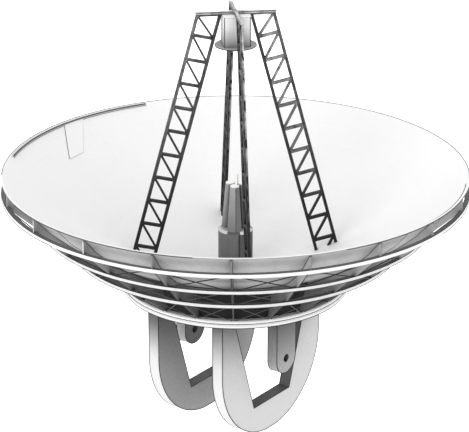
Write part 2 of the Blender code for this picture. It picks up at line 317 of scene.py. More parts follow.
# %% [markdown]
# Outdoor paint is never one even colour. Broad clouds of chalking, vertical rain streaks and a
# fine orange-peel texture break it up. The effect also paints shade: places that see little open
# sky are painted darker, as ambient occlusion finds them; one input says how much they darken and
# "Depth" how fast. All the paints share this effect, so it is one node group with its own inputs.

# %% Weathered paint and painted shade effect
SHADE_REACH = 8.0
SHADE_BLACK = grey(0.02)
RAIN_STRETCH = (2.2, 2.2, 0.12)

weather_and_shade, start, end = effect(
    "weathered_paint_and_shade",
    [("Paint", COLOUR, (0.8, 0.8, 0.8, 1)), ("Grime", COLOUR, (0.4, 0.4, 0.4, 1)),
     ("Amount", NUMBER, 0.2), ("Cloud Scale", NUMBER, 0.35), ("Gloss Loss", NUMBER, 0.5),
     ("Painted Shade", NUMBER, 0.8), ("Depth", NUMBER, 1.5)],
    [("Colour", COLOUR), ("Roughness", NUMBER), ("Height", NUMBER)],
)
coords = object_place(weather_and_shade)
chalk = ramp(weather_and_shade, noise(weather_and_shade, coords, start["Cloud Scale"], 5.0), 0.35, 0.7)
stretched = put(weather_and_shade, "ShaderNodeMapping", {"Vector": coords, "Scale": RAIN_STRETCH})
streaks = ramp(weather_and_shade, noise(weather_and_shade, stretched.outputs[0], 1.0, 4.0), 0.5, 0.75)
marks = calc(weather_and_shade, "MULTIPLY_ADD", streaks, 0.45, product(weather_and_shade, chalk, 0.55))
dirty = blend(weather_and_shade, start["Paint"], start["Grime"], product(weather_and_shade, marks, start["Amount"]))
# Painted shade: where little open sky is seen, ambient occlusion darkens the paint to near black.
open_sky = put(weather_and_shade, "ShaderNodeAmbientOcclusion", {"Distance": SHADE_REACH}, samples=8)
seen = calc(weather_and_shade, "POWER", open_sky.outputs["AO"], start["Depth"])
shade_mask = product(weather_and_shade, calc(weather_and_shade, "SUBTRACT", 1.0, seen), start["Painted Shade"])
rough = calc(weather_and_shade, "MULTIPLY_ADD", marks, 0.2, start["Gloss Loss"])
weather_and_shade.links.new(blend(weather_and_shade, dirty, SHADE_BLACK, shade_mask), end["Colour"])
weather_and_shade.links.new(rough, end["Roughness"])
weather_and_shade.links.new(noise(weather_and_shade, coords, 40.0, 2.0), end["Height"])
print("weathered_paint_and_shade has", len(weather_and_shade.nodes), "nodes")

# %% [markdown]
# A finish is a Principled shader fed by that group. The maker below returns the material's node
# tree as well, so that a paint with more to it, such as seams, can put its own nodes between.
# dress() then puts a material on the model's own nodes by their slots, and so it leaves their
# meshes alone.

# %% Paint maker
PEEL_DEPTH = 0.02
PEEL_STRENGTH = 0.15
SHEEN = 0.25


def paint(name, colour, grime, amount, cloud_scale, gloss_loss, painted_shade=0.8, depth=1.5):
    """A weathered paint with painted shade. Returns material, tree, group node and shader."""
    mat = bpy.data.materials.new(name)
    mat.use_nodes = True
    tree = mat.node_tree
    shader = tree.nodes["Principled BSDF"]
    group = put(tree, "ShaderNodeGroup", node_tree=weather_and_shade, inputs={
        "Paint": (*colour, 1), "Grime": (*grime, 1), "Amount": amount,
        "Cloud Scale": cloud_scale, "Gloss Loss": gloss_loss, "Painted Shade": painted_shade, "Depth": depth,
    })
    relief = put(tree, "ShaderNodeBump", {
        "Height": group.outputs["Height"], "Distance": PEEL_DEPTH, "Strength": PEEL_STRENGTH})
    tree.links.new(group.outputs["Colour"], shader.inputs["Base Color"])
    tree.links.new(group.outputs["Roughness"], shader.inputs["Roughness"])
    tree.links.new(relief.outputs[0], shader.inputs["Normal"])
    shader.inputs["Specular IOR Level"].default_value = SHEEN
    return mat, tree, group, shader


def dress(mat, *names):
    """Puts a material on frame nodes."""
    for name in names:
        for slot in nodes[name].material_slots:
            slot.material = mat
    print(mat.name, "on", len(names), "nodes")


print("paint maker ready")

# %% [markdown]
# Paint on a real structure changes with place, by height or by distance from the dish's axis.
# All the frame's nodes share one space, so both can be worked out from a point's place alone.

# %% Place helpers
def place_parts(tree):
    """The point's place as three numbers."""
    return put(tree, "ShaderNodeSeparateXYZ", {0: object_place(tree)}).outputs


def from_axis(tree, parts):
    """The point's level distance from the dish's axis."""
    squares = [calc(tree, "MULTIPLY", part, part) for part in parts[:2]]
    return calc(tree, "SQRT", calc(tree, "ADD", *squares))


print("place helpers ready")

# %% [markdown]
# The dish is made of several hundred panels. Each ring of panels meets the next in a thin seam,
# and the panels differ very slightly in tone. Modelling the gaps would cost thousands of faces
# for lines of a few millimetres, so polar coordinates in the shader draw them instead. Inside
# SPLIT_R, where the rings are short, each ring has half as many panels.

# %% Panel seams effect
SPLIT_R = 8.2
FULL_TURN = 2 * math.pi

seams, start, end = effect(
    "panel_seams",
    [("Ring Step", NUMBER, 1.6), ("Sectors", NUMBER, 40.0), ("Seam Width", NUMBER, 0.02)],
    [("Seam", NUMBER), ("Panel Tone", NUMBER)],
)
parts = place_parts(seams)
radius = from_axis(seams, parts)
ring = calc(seams, "DIVIDE", radius, start["Ring Step"])
outer = calc(seams, "GREATER_THAN", radius, SPLIT_R)
count = product(seams, start["Sectors"], calc(seams, "MULTIPLY_ADD", outer, 0.5, 0.5))
turn = calc(seams, "DIVIDE", calc(seams, "ARCTAN2", parts[1], parts[0]), FULL_TURN)
sector = product(seams, turn, count)
ring_off = product(seams, calc(seams, "PINGPONG", ring, 0.5), start["Ring Step"])
turn_off = calc(seams, "DIVIDE", calc(seams, "PINGPONG", sector, 0.5), count)
sector_off = product(seams, turn_off, product(seams, radius, FULL_TURN))
nearest = calc(seams, "MINIMUM", ring_off, sector_off)
seams.links.new(calc(seams, "LESS_THAN", nearest, start["Seam Width"]), end["Seam"])
panel = put(seams, "ShaderNodeCombineXYZ", {
    0: calc(seams, "FLOOR", ring), 1: calc(seams, "FLOOR", sector)})
tone = put(seams, "ShaderNodeTexWhiteNoise", {"Vector": panel.outputs[0]}, noise_dimensions="2D")
seams.links.new(tone.outputs["Value"], end["Panel Tone"])
print("panel_seams has", len(seams.nodes), "nodes")

# %% [markdown]
# Several paints change with height. Painted shade deepens towards the legs' feet and low in the
# backing. One mask that rises from one height to another serves them all, and it also falls when
# the first height is the upper one. Each paint below names its two heights from the rim's plane:
# the mask is 0 at the first and 1 at the second.

# %% Height mask effect
height_mask, start, end = effect(
    "height_mask", [("Low", NUMBER, 0.0), ("High", NUMBER, 1.0)], [("Mask", NUMBER)])
rise = ramp(height_mask, place_parts(height_mask)[2], start["Low"], start["High"])
height_mask.links.new(rise, end["Mask"])
print("height_mask has", len(height_mask.nodes), "nodes")


def by_height(tree, low, high):
    """The height mask between two heights from the rim's plane."""
    inputs = {"Low": RIM_Z + low, "High": RIM_Z + high}
    return put(tree, "ShaderNodeGroup", inputs, node_tree=height_mask).outputs["Mask"]


# %% [markdown]
# The dish shows two finishes on one solid: bright panels inside and grey frames underneath. The
# direction in which a face points tells them apart, so both paints live in one material and
# the face's own normal chooses between them. The underside's grey is partly its paint and partly
# painted shade, and towards the hub it is painted darker still, a painted shade in the backing.

# %% Dish paint
PANEL_RING = 1.598
SEAM_WIDTH = 0.008
PANEL_CONTRAST = 0.06
SEAM_CONTRAST = 0.15
UNDERSIDE_SHADE = (-3.6, -6.1)


def normal_parts(tree):
    """The face's own normal as three numbers."""
    shape = put(tree, "ShaderNodeNewGeometry").outputs
    return put(tree, "ShaderNodeSeparateXYZ", {0: shape["True Normal"]}).outputs


dish_paint, tree, group, shader = paint(
    "dish_paint", grey(0.945), (0.86, 0.86, 0.85),
    amount=0.2, cloud_scale=0.12, gloss_loss=0.55, painted_shade=0.07)
panels = put(tree, "ShaderNodeGroup", {
    "Ring Step": PANEL_RING, "Seam Width": SEAM_WIDTH}, node_tree=seams).outputs
face = blend(tree, group.outputs["Colour"], grey(0.84),
             product(tree, panels["Panel Tone"], PANEL_CONTRAST))
face = blend(tree, face, grey(0.55), product(tree, panels["Seam"], SEAM_CONTRAST))
# The underside's grey: partly its paint, partly painted shade.
under = put(tree, "ShaderNodeGroup", node_tree=weather_and_shade, inputs={
    "Paint": (*grey(0.60), 1), "Grime": (*grey(0.36), 1),
    "Amount": 0.5, "Cloud Scale": 0.5, "Painted Shade": 0.5,
})
# Painted shade: the underside darkens to near black towards the hub.
shaded_under = blend(tree, under.outputs["Colour"], SHADE_BLACK, by_height(tree, *UNDERSIDE_SHADE))
points_down = calc(tree, "LESS_THAN", normal_parts(tree)[2], -0.1)
tree.links.new(blend(tree, face, shaded_under, points_down), shader.inputs["Base Color"])
dress(dish_paint, "reflector")

# %% [markdown]
# The rim, the hoops and the base ring are the brightest steel on the object: smooth, white box
# sections that catch the light. Painted shade darkens them in three places: under the rim, on the
# hoops' level tops and along the base ring's foot. Each of these places is found by its height or
# its normal, which is simpler than giving one ring several materials. darken() lays one darker
# colour, a painted shade, over a paint by a mask, and these three paints need no more than that.

# %% Rim, base ring and hoop paints
UNDER_RIM = 0.005
BASE_SHADE = (-9.14, -9.26)


def darken(tree, group, shader, darker, mask):
    """Paints shade: blends a darker colour into a weathered paint by a mask."""
    colour = blend(tree, group.outputs["Colour"], darker, mask)
    tree.links.new(colour, shader.inputs["Base Color"])


rim_paint, tree, group, shader = paint(
    "rim_paint", grey(0.96), (0.85, 0.85, 0.84),
    amount=0.15, cloud_scale=0.5, gloss_loss=0.4, painted_shade=0.15)
rim_shade = calc(tree, "LESS_THAN", place_parts(tree)[2], RIM_Z - UNDER_RIM)
# Painted shade under the rim's edge.
darken(tree, group, shader, grey(0.36), rim_shade)
dress(rim_paint, "rim_ring")

base_paint, tree, group, shader = paint(
    "base_paint", grey(1.0), (0.92, 0.92, 0.91),
    amount=0.15, cloud_scale=0.5, gloss_loss=0.4, painted_shade=0.0)
# Painted shade along the base ring's foot.
darken(tree, group, shader, grey(0.45), by_height(tree, *BASE_SHADE))
dress(base_paint, "base_ring")

hoop_paint, tree, group, shader = paint(
    "hoop_paint", grey(0.91), (0.80, 0.80, 0.79),
    amount=0.2, cloud_scale=0.5, gloss_loss=0.4, painted_shade=0.3)
points_up = calc(tree, "GREATER_THAN", normal_parts(tree)[2], 0.9)
# Painted shade on the hoops' level tops.
darken(tree, group, shader, grey(0.14), points_up)
dress(hoop_paint, "hoop_1", "hoop_2", "hoop_3")

# %% [markdown]
# The ribs are flat plates in a flatter and greyer paint, and most of their look is painted light
# and shade. The faces that point towards one level direction carry a painted highlight. The
# undersides carry near-black painted shade, and the outer edges are painted grey as shade, or pale
# as a painted highlight on the half of the dish towards -X. Painted shade lies under the rim and
# deepens downwards. The paint is built up in that order, one blend for each layer.

# %% Rib paint
LIGHT_TURN = math.radians(-110)
EDGE_DEPTH = 0.005
RIM_SHADE_DEPTH = 0.25
RIB_SHADE = (-3.0, -6.5)

rib_paint, tree, group, shader = paint(
    "rib_paint", grey(0.86), grey(0.55), amount=0.35, cloud_scale=0.6, gloss_loss=0.5, painted_shade=0.9)
parts = place_parts(tree)
normal = normal_parts(tree)
facing = calc(tree, "ADD", product(tree, normal[0], math.cos(LIGHT_TURN)),
              product(tree, normal[1], math.sin(LIGHT_TURN)))
painted_light = product(tree, ramp(tree, facing, 0.45, 0.85), 0.45)
points_down = calc(tree, "LESS_THAN", normal[2], -0.3)
edge = calc(tree, "GREATER_THAN", from_axis(tree, parts), RIB_EDGE_R - EDGE_DEPTH)
bright_edge = product(tree, edge, calc(tree, "LESS_THAN", normal[0], 0.05))
under_rim = calc(tree, "GREATER_THAN", parts[2], RIM_Z - RIM_SHADE_DEPTH)
# Painted highlight and painted shade, layer by layer.
colour = blend(tree, group.outputs["Colour"], grey(0.75), painted_light)
colour = blend(tree, colour, SHADE_BLACK, points_down)
colour = blend(tree, colour, grey(0.26), edge)
colour = blend(tree, colour, grey(0.75), bright_edge)
colour = blend(tree, colour, grey(0.03), product(tree, under_rim, 0.6))
colour = blend(tree, colour, grey(0.05), product(tree, by_height(tree, *RIB_SHADE), 0.7))
tree.links.new(colour, shader.inputs["Base Color"])
dress(rib_paint, *["rib_%02d" % (i + 1) for i in range(RIB_COUNT)])

# %% [markdown]
# Behind the ribs lies the hub drum, the inner framework of the backing, and the girders cross the
# base ring out of sight. Both take a plain, dull paint; the hub drum's is near black, a painted
# shade deep inside the backing.

# %% Hub and girder paints
hub_shade_paint = paint(
    "hub_shade_paint", grey(0.02), grey(0.05), amount=0.4, cloud_scale=0.6, gloss_loss=0.7)[0]
# Painted shade: the hub drum is painted near black.
dress(hub_shade_paint, "hub_drum")
girder_paint = paint(
    "girder_paint", (0.40, 0.40, 0.41), grey(0.25), amount=0.4, cloud_scale=0.6, gloss_loss=0.6)[0]
dress(girder_paint, "girder_right", "girder_left", "girder_middle")

# %% [markdown]
# Each leg is a lattice: two sloping chords with rungs and diagonals, the web, between them. The
# outer chord is a little paler than the inner one. A point's distance from the dish's axis, less
# that of the leg's middle line at the same height, says which chord it lies on: beyond LEG_CLEAR
# is the outer chord, and within it lies the web. So one paint serves the whole lattice.

# %% Leg paint
LEG_TOP = 12.0
LEG_SLOPE = 0.269
LEG_MIDDLE_R = 1.9875
LEG_CLEAR = 0.71
INNER_CHORD = grey(0.17)
OUTER_CHORD = grey(0.30)

leg_paint, tree, group, shader = paint(
    "leg_paint", INNER_CHORD, grey(0.02), amount=1.3, cloud_scale=2.2, gloss_loss=0.5)
parts = place_parts(tree)
below_top = calc(tree, "SUBTRACT", RIM_Z + LEG_TOP, parts[2])
leg_middle = calc(tree, "MULTIPLY_ADD", below_top, LEG_SLOPE, LEG_MIDDLE_R)
from_middle = calc(tree, "SUBTRACT", from_axis(tree, parts), leg_middle)
on_outer = calc(tree, "GREATER_THAN", from_middle, LEG_CLEAR)
web = calc(tree, "LESS_THAN", calc(tree, "ABSOLUTE", from_middle), LEG_CLEAR)
leg_tone = blend(tree, INNER_CHORD, OUTER_CHORD, on_outer)
print("web within", LEG_CLEAR, "m of a leg's middle line")

# %% [markdown]
# The legs carry painted light from the side where x + y is positive. There the webs and all that
# slopes upwards are painted pale, while the chords are painted darker as shade. On the other side
# only the upper faces of the webs carry a little painted light. The front and the back leg stand
# where x + y is near zero. The sloping faces of their lit half carry a painted highlight, and all
# over them long flakes have come off down to dark steel, which stretched noise draws. Every leg
# is painted darker towards its foot, a painted shade.

# %% Leg painted light, shade and flakes
FLAKE_STRETCH = (5.0, 5.0, 0.9)
PLANE_HALF = 0.3
LEG_SHADE = (14.0, -4.0)

slope = normal_parts(tree)[2]
off_plane = calc(tree, "ADD", parts[0], parts[1])
lit_side = calc(tree, "GREATER_THAN", off_plane, 0.0)
front_or_back = calc(tree, "LESS_THAN", calc(tree, "ABSOLUTE", off_plane), PLANE_HALF)
points_up = calc(tree, "GREATER_THAN", slope, 0.2)
sloping = calc(tree, "GREATER_THAN", calc(tree, "ABSOLUTE", slope), 0.2)
lit_faces = product(tree, lit_side, calc(tree, "MAXIMUM", points_up, web))
rung_top_light = product(tree, points_up, web, 0.45)
chord_shade = product(tree, calc(tree, "SUBTRACT", lit_side, lit_faces), 0.4)
strip_highlight = product(tree, lit_side, sloping, front_or_back)
stretched = put(tree, "ShaderNodeMapping", {"Vector": object_place(tree), "Scale": FLAKE_STRETCH})
flakes = ramp(tree, noise(tree, stretched.outputs[0], 1.0, 3.0), 0.53, 0.60)
# Painted shade on the lit side's chords, painted light on webs and upper faces, painted highlight.
leg_tone = blend(tree, leg_tone, grey(0.04), chord_shade)
leg_tone = blend(tree, leg_tone, grey(0.57), calc(tree, "MAXIMUM", lit_faces, rung_top_light))
leg_tone = blend(tree, leg_tone, grey(1.0), strip_highlight)
leg_tone = blend(tree, leg_tone, grey(0.01), product(tree, front_or_back, flakes))
tree.links.new(leg_tone, group.inputs["Paint"])
# Painted shade towards each leg's foot.
darken(tree, group, shader, grey(0.012), by_height(tree, *LEG_SHADE))
dress(leg_paint, "leg_1", "leg_2", "leg_3", "leg_4")

# %% [markdown]
# The cross at the top stands in full weather, so its grey paint is blotched almost to black in
# places. The shared effect does that alone when its amount of grime goes over one.

# %% Cross paint
cross_paint = paint(
    "cross_paint", grey(0.68), grey(0.08),
    amount=1.2, cloud_scale=1.6, gloss_loss=0.5, painted_shade=0.5)[0]
dress(cross_paint, "apex_cross")

# %% [markdown]
# The housing under the cross is white at the top and painted darker towards its foot as shade, so
# it uses the height mask again. The subreflector's disc below it is plain grey on top, and its
# edge and its curved underside carry near-black painted shade, which the normal tells apart.

# %% Housing and disc paints
HOUSING_SHADE = (11.3, 9.7)

housing_paint, tree, group, shader = paint(
    "housing_paint", grey(0.95), grey(0.82),
    amount=0.3, cloud_scale=0.8, gloss_loss=0.45, painted_shade=0.2)
# Painted shade towards the housing's foot.
darken(tree, group, shader, grey(0.17), by_height(tree, *HOUSING_SHADE))
dress(housing_paint, "subreflector_housing")

disc_paint, tree, group, shader = paint(
    "disc_paint", grey(0.70), grey(0.50),
    amount=0.3, cloud_scale=1.2, gloss_loss=0.4, painted_shade=0.6)
underside = calc(tree, "LESS_THAN", normal_parts(tree)[2], 0.5)
# Painted shade on the disc's edge and underside.
darken(tree, group, shader, grey(0.08), underside)
dress(disc_paint, "subreflector")

# %% [markdown]
# The tower and the cones carry painted shade on one side of their upright faces. Which side a
# face belongs to follows from its normal, compared with one level direction. Both paints need
# the comparison, so it is a group with that direction as its input.

# %% Painted shade side effect
SHADE_TURN = math.radians(49.5)

shaded_side, start, end = effect("shaded_side", [("Turn", NUMBER, 0.0)], [("Mask", NUMBER)])
normal = normal_parts(shaded_side)
part_x = product(shaded_side, normal[0], calc(shaded_side, "COSINE", start["Turn"]))
part_y = product(shaded_side, normal[1], calc(shaded_side, "SINE", start["Turn"]))
facing = calc(shaded_side, "ADD", part_x, part_y)
shaded_side.links.new(calc(shaded_side, "GREATER_THAN", facing, 0.02), end["Mask"])
print("shaded_side has", len(shaded_side.nodes), "nodes")


def shade_one_side(tree, group, shader, darker):
    """Paints shade on the upright faces of one side."""
    shaded = put(tree, "ShaderNodeGroup", {"Turn": SHADE_TURN}, node_tree=shaded_side)
    upright_face = calc(tree, "LESS_THAN", normal_parts(tree)[2], 0.3)
    darken(tree, group, shader, darker, product(tree, shaded.outputs["Mask"], upright_face))


# %% [markdown]
# The tower's wall is dark grey, and its sloping shoulder is painted darker as shade, except
# between the cones, where the shoulder carries a painted highlight. The cosine of three times the
# azimuth, shifted by half a turn, has one low stretch in each gap between the three cones, so a
# single comparison finds all the gaps. The cones are a middle grey with painted shade that
# deepens fast where they stand close together.

# %% Tower and cone paints
TOWER_WALL = grey(0.26)

tower_paint, tree, group, shader = paint(
    "tower_paint", TOWER_WALL, grey(0.16), amount=0.35, cloud_scale=1.0, gloss_loss=0.5)
parts = place_parts(tree)
azimuth = calc(tree, "ARCTAN2", parts[1], parts[0])
three_waves = calc(tree, "COSINE", calc(tree, "MULTIPLY_ADD", azimuth, 3.0, math.pi))
between_cones = calc(tree, "LESS_THAN", three_waves, 0.3)
shoulder = calc(tree, "GREATER_THAN", normal_parts(tree)[2], 0.3)
# Painted shade on the shoulder, and a painted highlight between the cones.
tower_tone = blend(tree, TOWER_WALL, grey(0.13), shoulder)
tower_tone = blend(tree, tower_tone, grey(0.85), product(tree, shoulder, between_cones))
tree.links.new(tower_tone, group.inputs["Paint"])
shade_one_side(tree, group, shader, grey(0.085))
dress(tower_paint, "feed_tower")

cone_paint, tree, group, shader = paint(
    "cone_paint", grey(0.52), grey(0.36),
    amount=0.3, cloud_scale=1.0, gloss_loss=0.45, painted_shade=1.0, depth=2.2)
shade_one_side(tree, group, shader, grey(0.17))
dress(cone_paint, "feed_cone_1", "feed_cone_2", "feed_cone_3")

# %% [markdown]
# The wheels are white steel like the hoops, but the shared effect's painted shade works much
# deeper on them, because they hang in the shade of the whole dish. Height masks add more painted
# shade from the dish, more of it on the plates' edges and on the left wheel, and the faces towards
# +X are painted a tone greyer as shade. The faces inside each wheel's opening carry the darkest
# painted shade: they are found by their place, inside the opening's sloping sides with a small
# margin, and by their normal. HOLE_HALF is half the opening's width at its sill, HOLE_Z the sill's
# height and HOLE_SLOPE how the sides spread.

# %% Wheel paint
HOLE_HALF = 2.30
HOLE_Z = -18.10
HOLE_SLOPE = 0.307
HOLE_MARGIN = 0.1
WHEEL_SHADE = (-13.5, -9.0)
LEFT_SHADE = (-14.2, -11.2)
DEEP_SHADE = grey(0.03)
WHEEL_WHITE = grey(0.84)

wheel_paint, tree, group, shader = paint(
    "wheel_paint", WHEEL_WHITE, (0.68, 0.68, 0.67),
    amount=0.3, cloud_scale=0.3, gloss_loss=0.5, painted_shade=1.0, depth=2.6)
parts = place_parts(tree)
normal = normal_parts(tree)
left = calc(tree, "LESS_THAN", parts[0], 0.0)
faces_right = calc(tree, "GREATER_THAN", normal[0], 0.5)
side_on = calc(tree, "LESS_THAN", calc(tree, "ABSOLUTE", normal[0]), 0.5)
# Painted shade: the faces towards +X are a tone greyer.
tree.links.new(blend(tree, WHEEL_WHITE, grey(0.71), faces_right), group.inputs["Paint"])
share = calc(tree, "MULTIPLY_ADD", side_on, 0.36, 0.5)
under_dish = product(tree, by_height(tree, *WHEEL_SHADE), share)
left_rim = product(tree, left, side_on, by_height(tree, *LEFT_SHADE), 0.55)
above_sill = calc(tree, "SUBTRACT", parts[2], RIM_Z + HOLE_Z)
hole_edge = calc(tree, "MULTIPLY_ADD", above_sill, HOLE_SLOPE, HOLE_HALF + HOLE_MARGIN)
in_hole = calc(tree, "LESS_THAN", calc(tree, "ABSOLUTE", parts[1]), hole_edge)
# Painted shade under the dish, on the left wheel and inside the openings.
colour = blend(tree, group.outputs["Colour"], DEEP_SHADE, under_dish)
colour = blend(tree, colour, DEEP_SHADE, left_rim)
colour = blend(tree, colour, DEEP_SHADE, product(tree, left, faces_right, 0.15))
colour = blend(tree, colour, grey(0.13), product(tree, in_hole, side_on))
tree.links.new(colour, shader.inputs["Base Color"])
dress(wheel_paint, "wheel_right", "wheel_left")

# %% [markdown]
# The bearing lugs have grey cheeks, and their edges on the side towards -Y carry a painted
# highlight in white. The dish's painted shade lies on them as on the wheels, the left one a
# little more.

# %% Lug paint
LUG_CHEEK = grey(0.45)
LUG_SHADE = (-14.8, -10.8)

lug_paint, tree, group, shader = paint(
    "lug_paint", LUG_CHEEK, grey(0.40),
    amount=0.35, cloud_scale=0.6, gloss_loss=0.5, painted_shade=1.0, depth=2.4)
normal = normal_parts(tree)
left = calc(tree, "LESS_THAN", place_parts(tree)[0], 0.0)
faces_right = calc(tree, "GREATER_THAN", normal[0], 0.5)
lit_edge = calc(tree, "LESS_THAN", normal[1], -0.5)
# Painted highlight on the edges towards -Y.
tree.links.new(blend(tree, LUG_CHEEK, grey(1.0), lit_edge), group.inputs["Paint"])
# Painted shade under the dish, more on the left lug.
under_dish = product(tree, by_height(tree, *LUG_SHADE), 0.62)
colour = blend(tree, group.outputs["Colour"], DEEP_SHADE, under_dish)
colour = blend(tree, colour, DEEP_SHADE, product(tree, left, faces_right, 0.3))
tree.links.new(colour, shader.inputs["Base Color"])
dress(lug_paint, "lug_right", "lug_left")

# %% [markdown]
# Thin steel, such as bracing, welds and beads, is swept along lines. A curve object with a bevel
# does that: it holds many separate lines at once and stays light. The helper takes the lines as
# lists of points and makes one round tube along each. A second helper places points by radius,
# azimuth and height, because most of this structure is round.

# %% Tube helper
def new_piece(name, data, mat):
    """An object with one finish, in the scene."""
    piece = bpy.data.objects.new(name, data)
    data.materials.append(mat)
    bpy.context.scene.collection.objects.link(piece)
    return piece


def tubes(name, lines, mat, radius, closed=False):
    """One object of round bars, one along each list of points."""
    curve = bpy.data.curves.new(name, "CURVE")
    curve.dimensions = "3D"
    curve.bevel_depth = radius
    curve.bevel_resolution = 1
    curve.use_fill_caps = True
    for points in lines:
        spline = curve.splines.new("POLY")
        spline.points.add(len(points) - 1)
        for point, place in zip(spline.points, points):
            point.co = (*place, 1)
        spline.use_cyclic_u = closed
    piece = new_piece(name, curve, mat)
    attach(piece, "root")
    print(name, "has", len(lines), "bars of", round(radius * 2000), "mm")


def polar(radius, azimuth, z):
    """A point by its radius, its azimuth in degrees and its height from the rim's plane."""
    a = math.radians(azimuth)
    return (radius * math.cos(a), radius * math.sin(a), RIM_Z + z)


print("tube helper ready")

# %% [markdown]
# Bars and weld beads need dark finishes of their own. The bars are dull dark grey steel, and the
# beads are darker, near black as painted shade along the edges and joints they follow. Both use
# the shared effect, and nearly all the thin pieces below take one or the other.

# %% Bar and bead finishes
brace_paint = paint(
    "brace_paint", grey(0.11), grey(0.06),
    amount=0.3, cloud_scale=2.0, gloss_loss=0.5, painted_shade=0.5)[0]
bead_shade_paint = paint(
    "bead_shade_paint", grey(0.035), grey(0.02), amount=0.3, cloud_scale=2.0, gloss_loss=0.6)[0]
print("finishes for thin pieces:", brace_paint.name, "and", bead_shade_paint.name)

# %% [markdown]
# Each bay between two ribs is stiffened by a crossed pair of thin bars from hoop to hoop. They
# are too thin for the solid model, but they give the backing its busy look, so they are made
# here. Each bar runs from one rib's hoop joint to the next rib's joint one hoop down. The bars
# of the first tier are thicker and darker: TIERS gives each tier's finish and its bars' radius.

# %% Cross bracing
BRACE_INSET = 0.03
TIERS = [(bead_shade_paint, 0.043), (brace_paint, 0.03), (brace_paint, 0.03)]

for tier, (finish, bar_r) in enumerate(TIERS):
    (upper_r, upper_z), (lower_r, lower_z) = HOOPS[tier], HOOPS[tier + 1]
    bars = []
    for i in range(RIB_COUNT):
        here, there = i * RIB_STEP, (i + 1) * RIB_STEP
        for top, foot in ((here, there), (there, here)):
            bars.append([polar(upper_r - BRACE_INSET, top, upper_z),
                         polar(lower_r - BRACE_INSET, foot, lower_z)])
    tubes("cross_bracing_%d" % (tier + 1), bars, finish, bar_r)

# %% [markdown]
# A drawn, dark line runs round every plate of the wheels and lugs: the weld bead where face and
# edge plates meet. The bead follows the plate's own outline, so the outline's points are worked
# out again from the main sizes, and one thin tube is laid along each face. A wheel's bead is kept
# a bead's radius above the wheel's foot, so that the dressed model stays within its box.

# %% Weld beads on the wheels
WHEEL_X = 3.05
WHEEL_R = 6.25
WHEEL_FACE = 0.475
WHEEL_STEPS = 48
RING_FOOT = -9.2803
BEAD_R = 0.03


def round_foot(half, steps, lift=0.0):
    """A hanging plate's outline in y and z, down one side, round the foot and up the other."""
    lowest = -RIM_Z - half + lift
    points = [(half, RING_FOOT)]
    for k in range(steps + 1):
        a = math.radians(180 / steps * k)
        points.append((half * math.cos(a), max(lowest, -RIM_Z - half * math.sin(a))))
    return points + [(-half, RING_FOOT)]


def on_both_faces(plate_x, half_thickness, outlines):
    """Lays outlines on both faces of the plate at +X and of the plate at -X."""
    lines = []
    for side in (1, -1):
        for face in (1, -1):
            x = side * plate_x + face * half_thickness
            for outline in outlines:
                lines.append([(x, y, RIM_Z + z) for y, z in outline])
    return lines


hole_top = HOLE_HALF + HOLE_SLOPE * (RING_FOOT - HOLE_Z)
opening = [
    (hole_top, RING_FOOT), (HOLE_HALF, HOLE_Z), (-HOLE_HALF, HOLE_Z), (-hole_top, RING_FOOT)]
outer_edge = round_foot(WHEEL_R, WHEEL_STEPS, BEAD_R)
wheel_lines = on_both_faces(WHEEL_X, WHEEL_FACE, [outer_edge, opening])
tubes("wheel_beads", wheel_lines, bead_shade_paint, BEAD_R)

# %% [markdown]
# The lugs hang beside the wheels and are welded in the same way. Their outline is smaller but of
# the same kind, straight sides and a round foot, so the same helpers lay their beads.

# %% Weld beads on the lugs
LUG_X = 4.42
LUG_FACE = 0.4375
LUG_HALF = 1.21
LUG_STEPS = 36

lug_lines = on_both_faces(LUG_X, LUG_FACE, [round_foot(LUG_HALF, LUG_STEPS)])
tubes("lug_beads", lug_lines, bead_shade_paint, BEAD_R)

# %% [markdown]
# Hoops and base ring have weld beads too: thin dark lines along their outer corners, and one under
# the base ring's upper flange. Where the sky stands behind a white ring, only such a line shows
# its edge, so the rim and the first hoop have beads there alone: along the rim's far half, and
# under the hoop's two ends as the camera sees them. RING_BEADS gives each closed bead's radius and
# height, RIM_BACK and HOOP_ENDS each open one's radius, height, and first and last azimuth.

# %% Weld beads on the rings
RING_BEAD_R = 0.025
BEAD_TURN = 3
RING_BEADS = [
    (17.515, -1.175), (14.815, -3.572), (14.815, -3.83), (12.44, -5.662), (12.44, -5.93),
    (8.66, -8.90), (8.63, -9.26),
]
RIM_BACK = (17.47, 0.025, 30, 222)
HOOP_ENDS = [(17.55, -1.42, -154, -100), (17.505, -1.45, -8, 4), (17.55, -1.42, 4, 52)]


def arc(r, z, first, last):
    """Points along a level arc, from one azimuth to another."""
    return [polar(r, azimuth, z) for azimuth in range(first, last + 1, BEAD_TURN)]


ring_lines = [arc(r, z, 0, 359) for r, z in RING_BEADS]
tubes("ring_beads", ring_lines, bead_shade_paint, RING_BEAD_R, closed=True)
tubes("rim_back_bead", [arc(*RIM_BACK)], bead_shade_paint, RING_BEAD_R)
tubes("hoop_end_beads", [arc(*hoop_end) for hoop_end in HOOP_ENDS], bead_shade_paint, RING_BEAD_R)

# %% [markdown]
# A dark line also runs where each rib meets the dish's underside. It follows the bowl, so its
# points are taken from the model's own underside: the bowl's height less the shell's thickness,
# which grows towards the outer rings and ends thin at the rim. SHELL holds radii and thicknesses.
# Under the outer panels of some bays, halfway between two ribs, lies a thin frame, which is laid
# along the same points from the one at FRAME_START outwards.

# %% Weld beads under the dish
SHELL = [
    (7.8, 0.12), (9.6, 0.12), (11.3, 0.30), (13.0, 0.42), (14.7, 0.44), (16.1, 0.36),
    (17.36, 0.075),
]
BELOW_SHELL = 0.01
RIB_SIDE = 0.06
FRAME_START = 3
FRAME_BAYS = [-117, -99, -9, 9, 63, 81, 171, 189]

